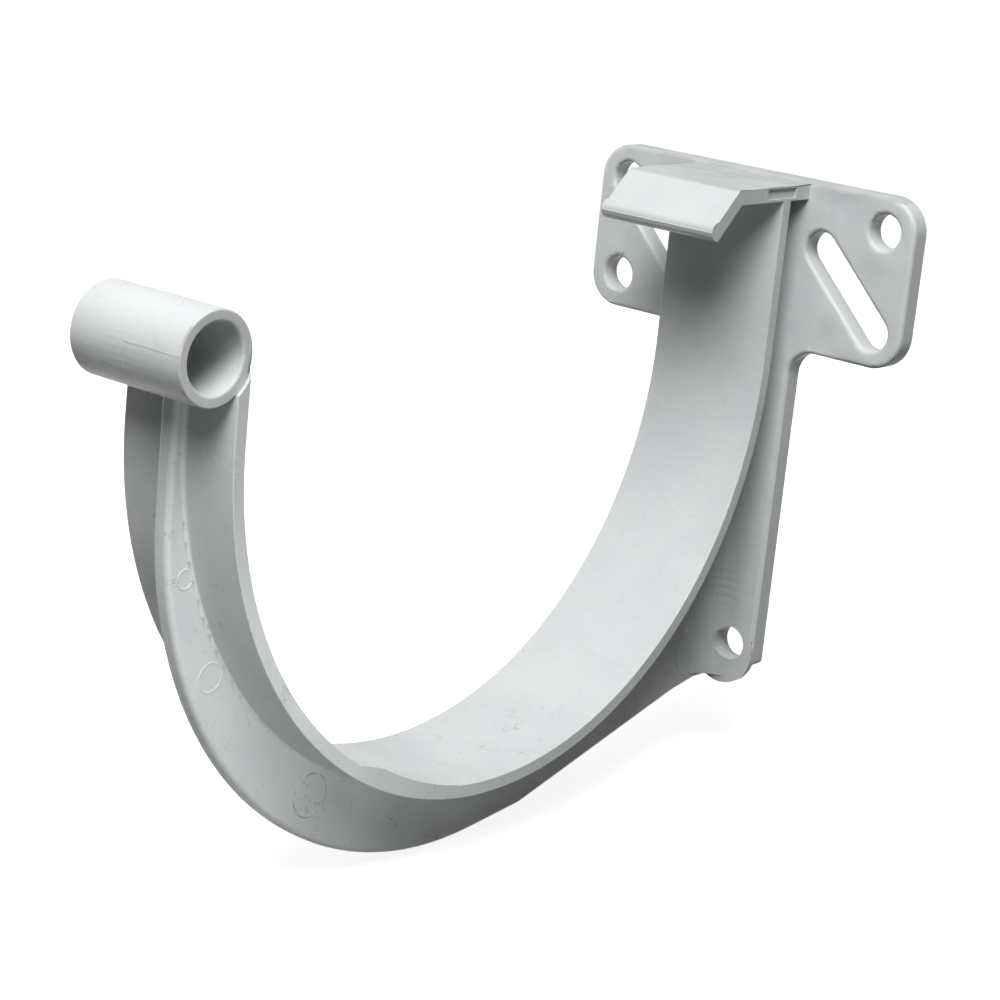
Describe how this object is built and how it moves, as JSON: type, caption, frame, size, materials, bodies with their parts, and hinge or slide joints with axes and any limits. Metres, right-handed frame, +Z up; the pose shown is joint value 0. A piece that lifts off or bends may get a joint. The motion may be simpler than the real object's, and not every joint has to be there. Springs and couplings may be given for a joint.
{
  "type": "gutter bracket",
  "caption": "Moulded clip that holds a half-round gutter: a tee-section hoop on a screw-on back plate, with a lip over the rear edge and a round sleeve at the front.",
  "frame": {"origin": "on the flat back that lies against the wall board, on the centre line, level with the middle of the gutter circle", "axes": "+X along the gutter, +Y into the wall board, +Z up"},
  "size_m": [0.0672, 0.1497, 0.1084],
  "materials": {
    "pvc": "satin"
  },
  "bodies": {
    "root": {"gutter_clip": "pvc"}
  },
  "joints": []
}
